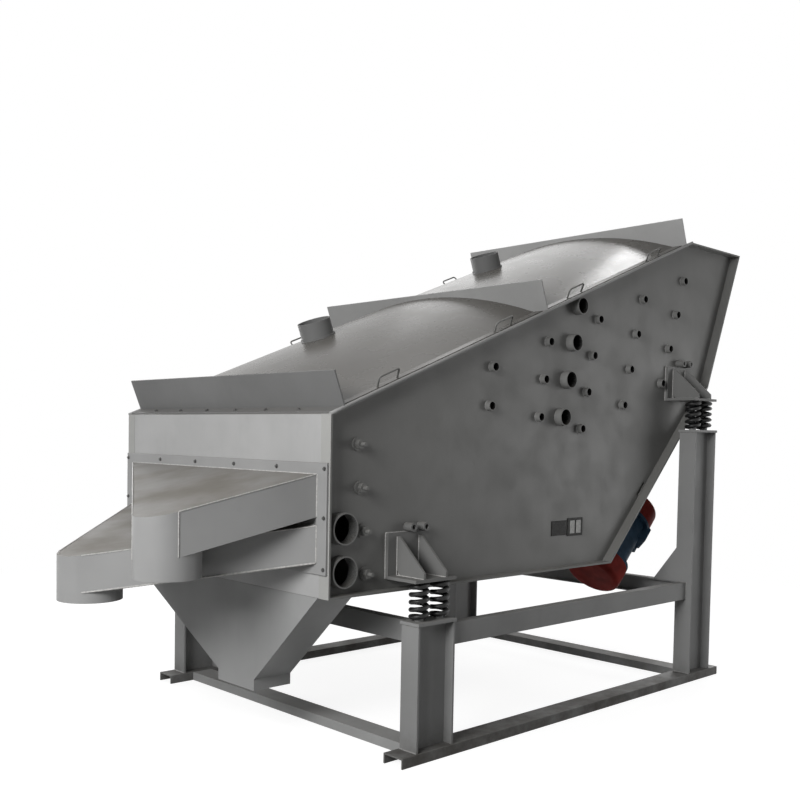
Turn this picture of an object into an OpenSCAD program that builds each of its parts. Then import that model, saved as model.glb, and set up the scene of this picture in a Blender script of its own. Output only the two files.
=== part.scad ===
// Closed multi-deck vibrating screen: a hexagonal sheet-steel screen box on
// coil springs, carried by a four-post base frame.
// X runs from the discharge end to the feed end, Y from the near side to the far side.
// Lengths along X are measured from the front faces of the front posts.

/* [Base frame] */
// Rear posts, distance in front of the rear corner of the box
rear_post_in = 342; // [300:1:400]
// Depth of the post section along X
post_depth = 200; // [180:2:220]
// Flange width of the post section
post_width = 92; // [84:1:110]
// Flange thickness of the post section
post_flange_t = 9; // [6:0.5:14]
// Web thickness of the post section
post_web_t = 7; // [5:0.5:10]
// Gap between the rims of the box and the posts
post_gap = 39; // [34:1:70]
// Thickness of the cap plates on the posts
cap_t = 12; // [8:1:16]
// Overhang of the cap plates past the post section
cap_over = 5; // [0:1:10]
// Width of the ground rails
rail_w = 104; // [98:1:116]
// Height of the ground rails
rail_h = 41; // [34:1:50]
// Sheet thickness of the ground rails
rail_t = 7; // [5:0.5:9]
// Overhang of the ground rails past the posts
rail_over = 78; // [50:1:110]
// Upper ring beams, depth of their top below the front post tops
ring_drop = 14; // [0:1:40]
// Height of the upper ring beams
ring_h = 86; // [70:1:100]
// Flange width of the upper ring beams
ring_w = 48; // [40:1:56]
// Distance of the ring rails from the outer edges of the posts
ring_in = 30; // [0:1:36]
// Sheet thickness of the upper ring beams
ring_t = 7; // [5:0.5:9]
// Front cross beam, distance behind the front faces of the front posts
ring_front_in = 112; // [60:1:130]
// Leg of the rear corner gussets along the cross beam
gusset_leg = 132; // [90:1:170]
// Leg of the rear corner gussets up the post
gusset_rise = 176; // [120:1:220]
// Thickness of the rear corner gussets
gusset_t = 9; // [6:0.5:12]

/* [Springs and brackets] */
// Front brackets, height above the underside of the box
bracket_up = 45; // [20:1:80]
// Rear brackets, depth below the rear corner of the box
bracket_down = 81; // [50:1:120]
// Height of the springs under load
spring_h = 150; // [135:1:165]
// Mean coil radius
spring_r = 31; // [29:1:36]
// Wire radius
wire_r = 8; // [6:0.5:9]
// Turns of each spring
spring_turns = 4.5; // [3.5:0.5:5.5]
// Distance between the two springs of a corner
spring_pitch = 110; // [106:1:116]
// Radius of the centring spigots in the spring ends
spigot_r = 17; // [12:1:18]
// Height of the centring spigots
spigot_h = 16; // [10:1:24]
// Length of a spring bracket along X
bracket_len = 222; // [205:1:240]
// Height of the bracket pad above the base plate
bracket_h = 165; // [140:1:190]
// Thickness of the bracket plates
bracket_t = 12; // [8:1:16]
// Thickness of the bracket pads on the side plates
pad_t = 16; // [10:1:22]
// Distance between the two gussets of a bracket
bracket_rib_pitch = 118; // [90:1:140]
// Thickness of the bracket gussets
bracket_rib_t = 10; // [6:1:14]
// Outer radius of the round eyes on the bracket pads
eye_r = 18; // [12:0.5:20]
// Bore radius of the round eyes
eye_bore_r = 10; // [5:0.5:11]
// Length of the round eyes
eye_len = 43; // [25:1:46]
// Distance between the two eyes of a bracket
eye_pitch = 71; // [50:1:90]
// Middle of the eyes behind the middle of the bracket
eye_back = 37; // [0:1:50]
// Gap between the eyes and the top of the bracket
eye_gap = 2; // [1:0.5:20]
// Distance of the gussets from the edge of the base plate
bracket_rib_in = 4; // [2:0.5:14]

/* [Screen box] */
// Overhang of the front panel past the front posts
box_front = 331; // [300:1:360]
// Underside of the box above ground
box_bottom = 640; // [620:1:670]
// Height of the front panel
front_h = 672; // [640:1:700]
// Length of the flat bottom
bottom_len = 1768; // [1700:1:1830]
// Run of the inclined motor plate along X
incline_run = 870; // [820:1:920]
// Rise of the inclined motor plate
incline_rise = 885; // [840:1:930]
// Run of the rear wall along X
rear_run = 306; // [270:1:340]
// Rise of the rear wall
rear_rise = 749; // [710:1:790]
// Length of the feed opening side
inlet_len = 507; // [460:1:550]
// Half of the box width over the rims
box_half = 735; // [720:1:745]
// Width of the rim around each side plate
rim_w = 48; // [36:1:60]
// Thickness of the rims
rim_t = 8; // [6:0.5:10]
// Thickness of the side plates
side_t = 8; // [6:0.5:12]
// Thickness of the shell plates between the side plates
shell_t = 8; // [6:0.5:12]
// Border of plate left around the feed opening
inlet_border = 60; // [40:1:90]
// Slot beside the motor plate, distance up the plate
slot_at = 426; // [380:1:560]
// Length of the slot beside the motor plate
slot_len = 88; // [60:1:130]
// Width of the slot beside the motor plate
slot_w = 18; // [12:1:40]
// Gap between the slot and the rim
slot_gap = 3; // [2:1:40]

/* [Covers] */
// First end plate, distance up the slope from the front panel
plate_front_at = 70; // [50:1:100]
// Middle end plate, distance up the slope from the front panel
plate_mid_at = 1325; // [1250:1:1400]
// Rear end plate, distance down the slope from the feed opening
plate_rear_in = 66; // [40:1:90]
// Height of the end plates above the slope
end_plate_h = 142; // [130:1:160]
// Thickness of the end plates
end_plate_t = 8; // [5:0.5:12]
// Rise of the vaulted covers
vault_rise = 122; // [100:1:126]
// Distance of the vault edges from the side plates
vault_in = 11; // [4:1:40]
// Sheet thickness of the covers
cover_t = 5; // [4:0.5:8]
// Width of the flat edge strips of the covers
cover_edge = 40; // [25:1:44]
// Outer radius of the dust outlets
outlet_r = 76; // [60:1:90]
// Wall of the dust outlets
outlet_t = 5; // [4:0.5:8]
// Height of the dust outlets above the vault crown
outlet_h = 78; // [50:1:100]
// Dust outlets, offset from the middle towards the far side
outlet_off = 95; // [0:1:200]
// Height of the collar at the foot of the dust outlets, above the vault crown
collar_h = 6; // [4:1:12]
// Width of that collar
collar_w = 5; // [3:0.5:8]
// Rod radius of the cover handles
handle_rod_r = 4; // [3:0.5:6]
// Length of the cover handles
handle_len = 110; // [80:1:140]
// Height of the cover handles
handle_h = 46; // [35:1:52]
// Radius of the bends of the cover handles
handle_bend = 12; // [8:1:16]
// Lean of the cover handles towards their side, in degrees
handle_lean = 35; // [0:1:40]
// Distance of each handle from the ends of its cover
handle_in = 270; // [200:1:400]

/* [Decks and tubes] */
// Slope of the screen decks in degrees
deck_angle = 19.7; // [19.6:0.1:21]
// Rear tube of the top deck, distance in front of the rear corner of the box
deck_in = 216; // [190:1:220]
// Rear tube of the top deck, height above the rear corner of the box
deck_up = 549; // [520:1:550]
// Step between decks towards the front
deck_step_in = 63.5; // [50:0.5:74]
// Step between decks downwards
deck_step_drop = 181.5; // [170:0.5:190]
// Pitch of the tubes along the top deck
tube_pitch = 399; // [375:1:410]
// Change of tube pitch from deck to deck
tube_pitch_step = 12; // [0:0.5:14]
// Outer radius of the deck tubes
tube_r = 21; // [18:0.5:24]
// Bore radius of the deck tubes
tube_bore_r = 17; // [12:0.5:17.5]
// Length of the deck tube ends outside the side plates
tube_out = 24; // [15:1:44]
// Thickness of the screen decks
deck_t = 12; // [8:1:20]
// Deck length past its end tubes
deck_over = 120; // [60:1:150]
// Outer radius of the spreader tubes
spreader_r = 40; // [37:0.5:41]
// Bore radius of the spreader tubes
spreader_bore_r = 35.5; // [25:0.5:36]
// Spreader tubes, place along the decks counted in tube pitches
spreader_bay = 2.35; // [2.2:0.01:2.4]
// Spreader tubes, height above the line of the deck tubes
spreader_lift = 99; // [92:1:100]
// Length of the spreader tube ends outside the side plates
spreader_out = 38; // [20:1:44]

/* [Discharge end] */
// Outer radius of the side ports
port_r = 60; // [50:1:66]
// Bore radius of the side ports
port_bore_r = 55; // [40:1:57]
// Length of the side ports outside the side plates
port_out = 40; // [25:1:46]
// Side ports, distance behind the front panel
port_in = 86; // [76:1:96]
// Lower side port, height above the underside of the box
port_up = 93; // [80:1:110]
// Distance between the two side ports
port_pitch = 160; // [145:1:180]
// Lowest clamp bolt, distance behind the front panel
clamp_in = 211; // [195:1:230]
// Step of the clamp bolts towards the front
clamp_step_in = 15; // [0:1:18]
// Lowest clamp bolt, height above the underside of the box
clamp_up = 75; // [60:1:90]
// Distance between clamp bolts
clamp_pitch = 163; // [150:1:170]
// Radius of the clamp bolt seats
clamp_seat_r = 26; // [21:0.5:28]
// Thickness of the clamp bolt seats
clamp_seat_t = 10; // [6:1:14]
// Radius of the clamp nuts over their corners
clamp_nut_r = 19; // [13:0.5:20.5]
// Top of the clamp nuts above the side plates
clamp_nut_h = 30; // [18:1:36]
// Radius of the clamp bolts
clamp_rod_r = 8; // [6:0.5:10]
// Length of the clamp bolts outside the side plates
clamp_rod_len = 52; // [40:1:56]
// Distance of the chute flange from the outer faces of the rims
flange_in = 8; // [4:1:45]
// Width of the upper and lower strips of the chute flange
flange_w = 48; // [40:1:60]
// Width of the side strips of the chute flange
flange_side_w = 60; // [50:1:70]
// Thickness of the chute flange
flange_t = 10; // [6:1:14]
// Underside of the chute flange above the underside of the box
flange_up = 88; // [70:1:100]
// Slope of the upper chute, drop per length
upper_slope = 0.245; // [0.23:0.005:0.26]
// Slope of the lower chute, drop per length
lower_slope = 0.185; // [0.17:0.005:0.2]
// Height of the upper chute
upper_h = 156; // [140:1:165]
// Height of the lower chute
lower_h = 135; // [120:1:145]
// Sheet thickness of the chutes
chute_t = 6; // [4:0.5:8]
// Least gap between the two chutes
chute_clear = 3; // [2:0.5:12]
// Outer radius of the spouts
spout_r = 118; // [100:1:125]
// Wall of the spouts
spout_t = 9; // [8.5:0.5:12]
// Upper spout, distance in front of the box
spout_upper_out = 487; // [440:1:530]
// Gap between the upper spout and the wall of the lower chute
spout_clear = 23; // [5:1:60]
// Length of the upper spout below its chute
spout_upper_len = 88; // [60:1:110]
// Lower spout, distance in front of the box
spout_lower_out = 568; // [540:1:620]
// Lower spout, offset towards the near side
spout_lower_near = 36; // [0:1:60]
// Length of the lower spout below its chute
spout_lower_len = 54; // [36:1:90]
// Depth of the fines hopper along X
hopper_depth = 180; // [150:1:220]
// Distance of the fines hopper from the side plates
hopper_in = 7; // [4:1:40]
// Height of the sloping part of the fines hopper
hopper_h = 375; // [340:1:400]
// Width of the hopper outlet
hopper_out_w = 252; // [200:1:300]
// Hopper outlet centre, offset towards the near side
hopper_out_near = 157; // [100:1:200]
// Height of the hopper outlet neck
hopper_neck = 45; // [30:1:60]
// Sheet thickness of the hopper
hopper_t = 6; // [4:0.5:8]

/* [Motors] */
// Distance of the motor feet from the side plates
motor_in = 49; // [20:1:90]
// Lower motor end, distance up the motor plate
motor_at = 45; // [20:1:120]
// Overall length of a motor
motor_len = 500; // [460:1:560]
// Length of each end cap
motor_cap_len = 108; // [90:1:130]
// Outer radius of the end caps
motor_cap_r = 145; // [130:1:150]
// Rounding of the end caps
motor_round = 26; // [12:1:40]
// Length of the flanges that carry the end caps
motor_flange_len = 18; // [10:1:30]
// Radius of the motor body
motor_body_r = 122; // [100:1:130]
// Height of the motor axis above the motor plate
motor_axis_h = 188; // [176:1:200]
// Width of the motor foot
motor_foot_w = 250; // [200:1:280]
// Thickness of the motor foot plate
motor_foot_t = 24; // [16:1:30]
// Width of the motor foot webs
motor_web_w = 196; // [160:1:220]
// Length of the motor terminal box
motor_box_len = 104; // [80:1:120]
// Width of the motor terminal box
motor_box_w = 110; // [80:1:140]
// Height of the motor terminal box above the motor body
motor_box_h = 26; // [15:1:40]

/* [Hidden] */
$fn = 48;

// paint colours as the photograph shows them
frame_grey = [0.44, 0.44, 0.44];
box_grey = [0.36, 0.36, 0.35];
pale_grey = [0.60, 0.60, 0.60];
spring_black = [0.07, 0.07, 0.07];
motor_blue = [0.10, 0.14, 0.17];
motor_red = [0.40, 0.11, 0.10];
mesh_steel = [0.50, 0.49, 0.46];

// small overlap that lets a cutting body pass a face
cut = 1;

// outline of the box in the XZ plane, counter-clockwise from the lower front corner
box_top = box_bottom + incline_rise + rear_rise;
rear_x = -box_front + bottom_len + incline_run + rear_run;
OUTLINE = [[-box_front, box_bottom], [-box_front + bottom_len, box_bottom],
    [-box_front + bottom_len + incline_run, box_bottom + incline_rise],
    [rear_x, box_top], [rear_x - inlet_len, box_top], [-box_front, box_bottom + front_h]];

// a closed polygon moved inwards by d, for counter-clockwise points
function inset(P, d) = [for (i = [0:len(P) - 1])
    let (a = P[(i + len(P) - 1) % len(P)], b = P[i], c = P[(i + 1) % len(P)],
        u = (b - a) / norm(b - a), v = (c - b) / norm(c - b),
        m = [-u[1], u[0]], n = [-v[1], v[0]])
    b + (m + n) * d / (1 + m * n)];

// planes of the side plates
side_out = box_half - rim_w;
side_in = side_out - side_t;

// the rear corner, where the motor plate meets the rear wall
REAR_CORNER = OUTLINE[2];

// the frame is set out from the box: rear posts, width, brackets and post tops
post_pitch = REAR_CORNER[0] - rear_post_in;
base_half = box_half + post_gap + post_width;
front_bracket_z = box_bottom + bracket_up;
rear_bracket_z = REAR_CORNER[1] - bracket_down;
front_post_top = front_bracket_z - spring_h - cap_t;
rear_post_top = rear_bracket_z - spring_h - cap_t;
ring_top = front_post_top - ring_drop;

// slope of the covers
slope_low = OUTLINE[5];
slope_high = OUTLINE[4];
slope_len = norm(slope_high - slope_low);
slope_angle = atan2(slope_high[1] - slope_low[1], slope_high[0] - slope_low[0]);
plate_rear_at = slope_len - plate_rear_in;

// slope of the motor plate
incline_angle = atan2(incline_rise, incline_run);

// dust outlets stand halfway along their covers
OUTLETS = [(plate_front_at + plate_mid_at) / 2, (plate_mid_at + plate_rear_at) / 2];

// vault radius from its width and rise
vault_half = side_in - vault_in;
vault_r = (vault_half * vault_half + vault_rise * vault_rise) / (2 * vault_rise);

// levels and places of the spring corners
spring_y = base_half - post_width / 2;
pad_face = side_out + pad_t;
bracket_reach = spring_y + spring_r + wire_r;
post_mid = post_depth / 2;

// discharge end: the sheets of the chutes stand round the opening of the flange
front_x = -box_front;
flange_x = front_x - flange_t;
flange_low = box_bottom + flange_up;
flange_half = box_half - flange_in;
chute_gap = chute_clear + max(0, upper_slope - lower_slope) * spout_upper_out;
flange_h = 2 * (flange_w - chute_t) + upper_h + lower_h + chute_gap;
chute_half = flange_half - flange_side_w + chute_t;
upper_top = flange_low + flange_h - flange_w + chute_t;
lower_top = upper_top - upper_h - chute_gap;
hopper_half = side_in - hopper_in;

// the near wall of the lower chute touches its spout, and the upper spout stands clear of that wall
LOWER_SPOUT = [front_x - spout_lower_out, -spout_lower_near];
WALL_FOOT = [flange_x, -chute_half];
WALL_RUN = LOWER_SPOUT - WALL_FOOT;
wall_angle = atan2(WALL_RUN[1], WALL_RUN[0]) + asin(spout_r / norm(WALL_RUN));
wall_off = spout_r + spout_clear;
upper_x = front_x - spout_upper_out;
wall_at = (upper_x - WALL_FOOT[0] + wall_off * sin(wall_angle)) / cos(wall_angle);
UPPER_SPOUT = [upper_x, WALL_FOOT[1] + wall_at * sin(wall_angle) + wall_off * cos(wall_angle)];

// the middle of the overall box lies on the Z axis
x_low = min(LOWER_SPOUT[0], UPPER_SPOUT[0]) - spout_r;
x_shift = -(x_low + rear_x) / 2;

// rear tube of deck k, and the places of its tubes
function deck_rear(k) = REAR_CORNER + [-deck_in - k * deck_step_in, deck_up - k * deck_step_drop];
function deck_count(k) = [5, 5, 4, 3][k];
function deck_pitch(k) = tube_pitch - k * tube_pitch_step;
function deck_point(k, s) = deck_rear(k) - s * [cos(deck_angle), sin(deck_angle)];
TUBES = [for (k = [0:3]) for (i = [0:deck_count(k) - 1]) deck_point(k, i * deck_pitch(k))];
SPREADERS = [for (k = [0:3]) deck_point(k, spreader_bay * deck_pitch(k))
    + spreader_lift * [-sin(deck_angle), cos(deck_angle)]];
PORTS = [for (i = [0:1]) [front_x + port_in, box_bottom + port_up + i * port_pitch]];
CLAMPS = [for (i = [0:3]) [front_x + clamp_in - i * clamp_step_in,
    box_bottom + clamp_up + i * clamp_pitch]];

module placed() {
    translate([x_shift, 0, 0]) children();
}

module both_sides() {
    children();
    mirror([0, 1, 0]) children();
}

// an XZ drawing made solid across the width, from y0 to y1
module across(y0, y1) {
    translate([0, y1, 0]) rotate([90, 0, 0]) linear_extrude(height = y1 - y0) children();
}

// a round bar or bore along Y at point p of the XZ plane
module bar(p, r, y0, y1) {
    translate([p[0], y1, p[1]]) rotate([90, 0, 0]) cylinder(r = r, h = y1 - y0);
}

// a plate along one edge of the box, between the side plates
module edge_plate(i) {
    inner = inset(OUTLINE, shell_t);
    j = (i + 1) % len(OUTLINE);
    across(-side_in, side_in) polygon([OUTLINE[i], OUTLINE[j], inner[j], inner[i]]);
}

// children stand on the slope of the covers: X up the slope, Z away from the box
module on_slope() {
    translate([slope_low[0], 0, slope_low[1]]) rotate([0, -slope_angle, 0]) children();
}

// children stand on the motor plate: X up the plate, Z away from the box
module on_incline() {
    translate([OUTLINE[1][0], 0, OUTLINE[1][1]]) rotate([180, -incline_angle, 0]) children();
}

// channel section lying along X with its flanges down, from x0 to x1
module rail_x(x0, x1) {
    translate([x0, 0, 0]) rotate([90, 0, 90]) linear_extrude(height = x1 - x0) rail_section();
}

module rail_section() {
    difference() {
        translate([-rail_w / 2, 0]) square([rail_w, rail_h]);
        translate([-rail_w / 2 + rail_t, -cut]) square([rail_w - 2 * rail_t, rail_h - rail_t + cut]);
    }
}

// channel section of the upper ring, web at the left, flanges to the right
module ring_section() {
    difference() {
        square([ring_w, ring_h]);
        translate([ring_t, ring_t]) square([ring_w, ring_h - 2 * ring_t]);
    }
}

rail_y = base_half - post_width / 2;
rail_in = rail_y - rail_w / 2;

module base_rail_near() {
    color(frame_grey) placed() translate([0, -rail_y, 0])
        rail_x(-rail_over, post_pitch + post_depth + rail_over);
}

module base_rail_far() {
    color(frame_grey) placed() translate([0, rail_y, 0])
        rail_x(-rail_over, post_pitch + post_depth + rail_over);
}

// ground rail across the frame, between the two long rails
module base_cross(x) {
    placed() translate([x, rail_in, 0]) rotate([90, 0, 0])
        linear_extrude(height = 2 * rail_in) rail_section();
}

module base_cross_front() {
    color(frame_grey) base_cross(post_mid);
}

module base_cross_rear() {
    color(frame_grey) base_cross(post_pitch + post_mid);
}

// H-section post with its cap plate and the two spring spigots
module post(top) {
    translate([0, 0, rail_h]) linear_extrude(height = top - rail_h) {
        translate([0, -post_width / 2]) square([post_flange_t, post_width]);
        translate([post_depth - post_flange_t, -post_width / 2]) square([post_flange_t, post_width]);
        translate([post_flange_t - cut, -post_web_t / 2])
            square([post_depth - 2 * post_flange_t + 2 * cut, post_web_t]);
    }
    translate([-cap_over, -post_width / 2 - cap_over, top])
        cube([post_depth + 2 * cap_over, post_width + 2 * cap_over, cap_t]);
    for (side = [-1, 1])
        translate([post_mid + side * spring_pitch / 2, 0, top + cap_t - cut])
            cylinder(r = spigot_r, h = spigot_h + cut);
}

module post_front_near() {
    color(frame_grey) placed() translate([0, -spring_y, 0]) post(front_post_top);
}

module post_front_far() {
    color(frame_grey) placed() translate([0, spring_y, 0]) post(front_post_top);
}

module post_rear_near() {
    color(frame_grey) placed() translate([post_pitch, -spring_y, 0]) post(rear_post_top);
}

module post_rear_far() {
    color(frame_grey) placed() translate([post_pitch, spring_y, 0]) post(rear_post_top);
}

// ring beam along X between the posts, web outwards on the near side
module ring_rail() {
    translate([post_depth, ring_in - base_half, ring_top - ring_h]) rotate([90, 0, 90])
        linear_extrude(height = post_pitch - post_depth) ring_section();
}

module ring_rail_near() {
    color(frame_grey) placed() ring_rail();
}

module ring_rail_far() {
    color(frame_grey) placed() mirror([0, 1, 0]) ring_rail();
}

// half length of the cross beams, between the webs of the posts
cross_half = spring_y - post_web_t / 2;

module ring_cross_front() {
    color(frame_grey) placed() translate([ring_front_in, cross_half, ring_top - ring_h])
        rotate([90, 0, 0]) linear_extrude(height = 2 * cross_half) ring_section();
}

module ring_cross_rear() {
    color(frame_grey) placed()
        translate([post_pitch + post_flange_t + ring_w, cross_half, ring_top - ring_h])
        rotate([90, 0, 0]) linear_extrude(height = 2 * cross_half) mirror([1, 0]) ring_section();
}

// triangular plates that stand on the rear cross beam beside the posts
module corner_gussets() {
    inner_edge = base_half - post_width;
    color(frame_grey) placed() both_sides()
        translate([post_pitch, 0, ring_top]) rotate([90, 0, 90])
        linear_extrude(height = post_flange_t + gusset_t)
        polygon([[inner_edge, 0], [inner_edge, gusset_rise], [inner_edge - gusset_leg, 0]]);
}

// helical coil with flat ends, standing at z = 0
spring_steps = 14;
wire_sides = 6;
function coil_turn(t) = let (rise = spring_h - 2 * wire_r) wire_r + rise * t;
function coil_ring(i, n) = let (t = i / n, a = 360 * spring_turns * t)
    [for (j = [0:wire_sides - 1]) let (b = 360 * j / wire_sides,
        w = wire_r / cos(180 / wire_sides), r = spring_r + w * cos(b))
        [r * cos(a), r * sin(a), coil_turn(t) + w * sin(b)]];

module coil() {
    n = ceil(spring_steps * spring_turns);
    points = [for (i = [0:n]) each coil_ring(i, n)];
    sides = [for (i = [0:n - 1]) for (j = [0:wire_sides - 1])
        let (k = (j + 1) % wire_sides, a = i * wire_sides, b = a + wire_sides)
        each [[a + j, b + j, b + k], [a + j, b + k, a + k]]];
    first = [for (j = [0:wire_sides - 1]) j];
    last = [for (j = [wire_sides - 1:-1:0]) n * wire_sides + j];
    polyhedron(points = points, faces = concat(sides, [first, last]));
}

module corner_springs(x, z) {
    placed() both_sides() for (side = [-1, 1])
        translate([x + post_mid + side * spring_pitch / 2, -spring_y, z + cap_t]) coil();
}

module springs_front() {
    color(spring_black) corner_springs(0, front_post_top);
}

module springs_rear() {
    color(spring_black) corner_springs(post_pitch, rear_post_top);
}

// bracket on a side plate: pad, base plate and two gussets, with two round eyes above it
module spring_bracket(x, z) {
    x0 = x + post_mid - bracket_len / 2;
    reach = bracket_reach - pad_face;
    lip = 2 * bracket_t;
    translate([x0, -pad_face, z]) {
        cube([bracket_len, pad_t, bracket_h + bracket_t]);
        translate([0, -reach, 0]) cube([bracket_len, reach + cut, bracket_t]);
        for (side = [-1, 1])
            translate([(bracket_len + side * bracket_rib_pitch - bracket_rib_t) / 2, cut, bracket_t - cut])
                rotate([90, 0, 90]) linear_extrude(height = bracket_rib_t)
                polygon([[-lip, 0], [-reach + bracket_rib_in, 0], [-reach + bracket_rib_in, lip],
                    [-bracket_t, bracket_h - bracket_t], [0, bracket_h - bracket_t], [0, lip]]);
        for (side = [-1, 1])
            translate([bracket_len / 2 + eye_back + side * eye_pitch / 2, pad_t,
                bracket_h + bracket_t + eye_gap + eye_r])
                rotate([90, 0, 0]) difference() {
                    cylinder(r = eye_r, h = eye_len);
                    translate([0, 0, bracket_t]) cylinder(r = eye_bore_r, h = eye_len);
                }
        for (side = [-1, 1])
            translate([bracket_len / 2 + side * spring_pitch / 2, pad_face - spring_y, -spigot_h])
                cylinder(r = spigot_r, h = spigot_h + cut);
    }
}

module spring_brackets_front() {
    color(box_grey) placed() both_sides() spring_bracket(0, front_bracket_z);
}

module spring_brackets_rear() {
    color(box_grey) placed() both_sides() spring_bracket(post_pitch, rear_bracket_z);
}

// near side plate with its rim, holes for tubes and ports, and the slot
module side_plate() {
    difference() {
        union() {
            across(-side_out, -side_in) polygon(OUTLINE);
            difference() {
                across(-box_half, -side_out + cut) polygon(OUTLINE);
                across(-box_half - cut, -side_out) polygon(inset(OUTLINE, rim_t));
            }
        }
        for (p = TUBES) bar(p, tube_r, -side_out - cut, -side_in + cut);
        for (p = SPREADERS) bar(p, spreader_r, -side_out - cut, -side_in + cut);
        for (p = PORTS) bar(p, port_r, -side_out - cut, -side_in + cut);
        on_incline() translate([slot_at, side_in - cut, -rim_t - slot_gap - slot_w])
            cube([slot_len, side_t + 2 * cut, slot_w]);
    }
}

module side_plate_near() {
    color(box_grey) placed() side_plate();
}

module side_plate_far() {
    color(box_grey) placed() mirror([0, 1, 0]) side_plate();
}

// mouth of a chute in the front panel, cut just inside the sheet of the chute
module chute_mouth(top, h) {
    translate([flange_x - cut, -chute_half + chute_t, top - h + chute_t])
        cube([flange_t + shell_t + 2 * cut, 2 * (chute_half - chute_t), h - 2 * chute_t]);
}

module front_panel() {
    color(pale_grey) placed() difference() {
        edge_plate(5);
        chute_mouth(upper_top, upper_h);
        chute_mouth(lower_top, lower_h);
    }
}

module bottom_plate() {
    color(box_grey) placed() difference() {
        edge_plate(0);
        translate([front_x + shell_t, -hopper_half + hopper_t, box_bottom - cut])
            cube([hopper_depth - shell_t - hopper_t, 2 * (hopper_half - hopper_t), shell_t + 2 * cut]);
    }
}

module motor_plate() {
    color(box_grey) placed() edge_plate(1);
}

module rear_wall() {
    color(box_grey) placed() edge_plate(2);
}

module feed_inlet() {
    color(box_grey) placed() difference() {
        edge_plate(3);
        translate([slope_high[0] + inlet_border, -side_in + inlet_border, box_top - shell_t - cut])
            cube([inlet_len - 2 * inlet_border, 2 * (side_in - inlet_border), shell_t + 2 * cut]);
    }
}

// opening in the sloping frame under one cover
module cover_opening(s0, s1) {
    border = cover_edge;
    on_slope() translate([s0 + border, -vault_half + border, -shell_t - cut])
        cube([s1 - s0 - 2 * border, 2 * (vault_half - border), shell_t + 2 * cut]);
}

module top_frame() {
    color(box_grey) placed() difference() {
        edge_plate(4);
        cover_opening(plate_front_at, plate_mid_at);
        cover_opening(plate_mid_at, plate_rear_at);
    }
}

// vaulted sheet cover between two end plates, with flat edge strips and a round hole
module cover(s0, s1) {
    len = s1 - s0 - end_plate_t;
    on_slope() translate([s0 + end_plate_t / 2, 0, 0]) difference() {
        union() {
            intersection() {
                translate([0, 0, vault_rise - vault_r]) rotate([0, 90, 0]) difference() {
                    cylinder(r = vault_r, h = len, $fn = 160);
                    translate([0, 0, -cut]) cylinder(r = vault_r - cover_t, h = len + 2 * cut, $fn = 160);
                }
                translate([0, -vault_half, 0]) cube([len, 2 * vault_half, vault_rise + cut]);
            }
            both_sides() translate([0, -vault_half - cover_edge, 0])
                cube([len, cover_edge + cover_t, cover_t]);
        }
        translate([len / 2, outlet_off, 0])
            cylinder(r = outlet_r - outlet_t, h = vault_rise + cut);
    }
}

module cover_front() {
    color(pale_grey) placed() cover(plate_front_at, plate_mid_at);
}

module cover_rear() {
    color(pale_grey) placed() cover(plate_mid_at, plate_rear_at);
}

// upright plate across the slope
module end_plate(s) {
    placed() on_slope() translate([s - end_plate_t / 2, -box_half, 0])
        cube([end_plate_t, 2 * box_half, end_plate_h]);
}

module end_plate_front() {
    color(frame_grey) end_plate(plate_front_at);
}

module end_plate_middle() {
    color(frame_grey) end_plate(plate_mid_at);
}

module end_plate_rear() {
    color(frame_grey) end_plate(plate_rear_at);
}

// pipe stub that stands on a vault beside its crown
module dust_outlet(s) {
    on_slope() translate([s, outlet_off, 0]) difference() {
        union() {
            cylinder(r = outlet_r, h = vault_rise + outlet_h);
            cylinder(r = outlet_r + collar_w, h = vault_rise + collar_h);
        }
        translate([0, 0, -cut]) cylinder(r = outlet_r - outlet_t, h = vault_rise + outlet_h + 2 * cut);
        translate([-outlet_r - collar_w - cut, -outlet_off, vault_rise - vault_r]) rotate([0, 90, 0])
            cylinder(r = vault_r, h = 2 * (outlet_r + collar_w + cut), $fn = 160);
    }
}

module dust_outlets() {
    color(pale_grey) placed() for (s = OUTLETS) dust_outlet(s);
}

// bent rod handle on the edge strip of a cover, centred at s and leaning over its side
module handle(s) {
    on_slope() translate([s, -vault_half - cover_edge / 2, cover_t]) difference() {
        rotate([handle_lean, 0, 0]) {
            for (side = [-1, 1]) {
                translate([side * handle_len / 2, 0, -handle_bend])
                    cylinder(r = handle_rod_r, h = handle_h);
                translate([side * (handle_len / 2 - handle_bend), 0, handle_h - handle_bend])
                    rotate([90, 0, 0]) rotate([0, 0, side > 0 ? 0 : 90]) rotate_extrude(angle = 90)
                    translate([handle_bend, 0]) circle(r = handle_rod_r, $fn = 16);
            }
            translate([-handle_len / 2 + handle_bend, 0, handle_h]) rotate([0, 90, 0])
                cylinder(r = handle_rod_r, h = handle_len - 2 * handle_bend);
        }
        translate([-handle_len, -handle_len, -handle_len])
            cube([2 * handle_len, 2 * handle_len, handle_len]);
    }
}

module cover_handles() {
    color(frame_grey) placed() both_sides()
        for (s = [plate_front_at + handle_in, plate_mid_at - handle_in,
            plate_mid_at + handle_in, plate_rear_at - handle_in]) handle(s);
}

// tube right across the box, open at both ends
module cross_tube(p, r, bore, out) {
    difference() {
        bar(p, r, -side_out - out, side_out + out);
        bar(p, bore, -side_out - out - cut, side_out + out + cut);
    }
}

module deck_tubes() {
    color(box_grey) placed() for (p = TUBES) cross_tube(p, tube_r, tube_bore_r, tube_out);
}

module spreader_tubes() {
    color(box_grey) placed() for (p = SPREADERS)
        cross_tube(p, spreader_r, spreader_bore_r, spreader_out);
}

// one screening surface on the tubes of deck k
module screen_deck(k) {
    p = deck_point(k, (deck_count(k) - 1) * deck_pitch(k));
    span = (deck_count(k) - 1) * deck_pitch(k);
    translate([p[0], 0, p[1]]) rotate([0, -deck_angle, 0])
        translate([-deck_over, -side_in, tube_r]) cube([span + 2 * deck_over, 2 * side_in, deck_t]);
}

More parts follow.
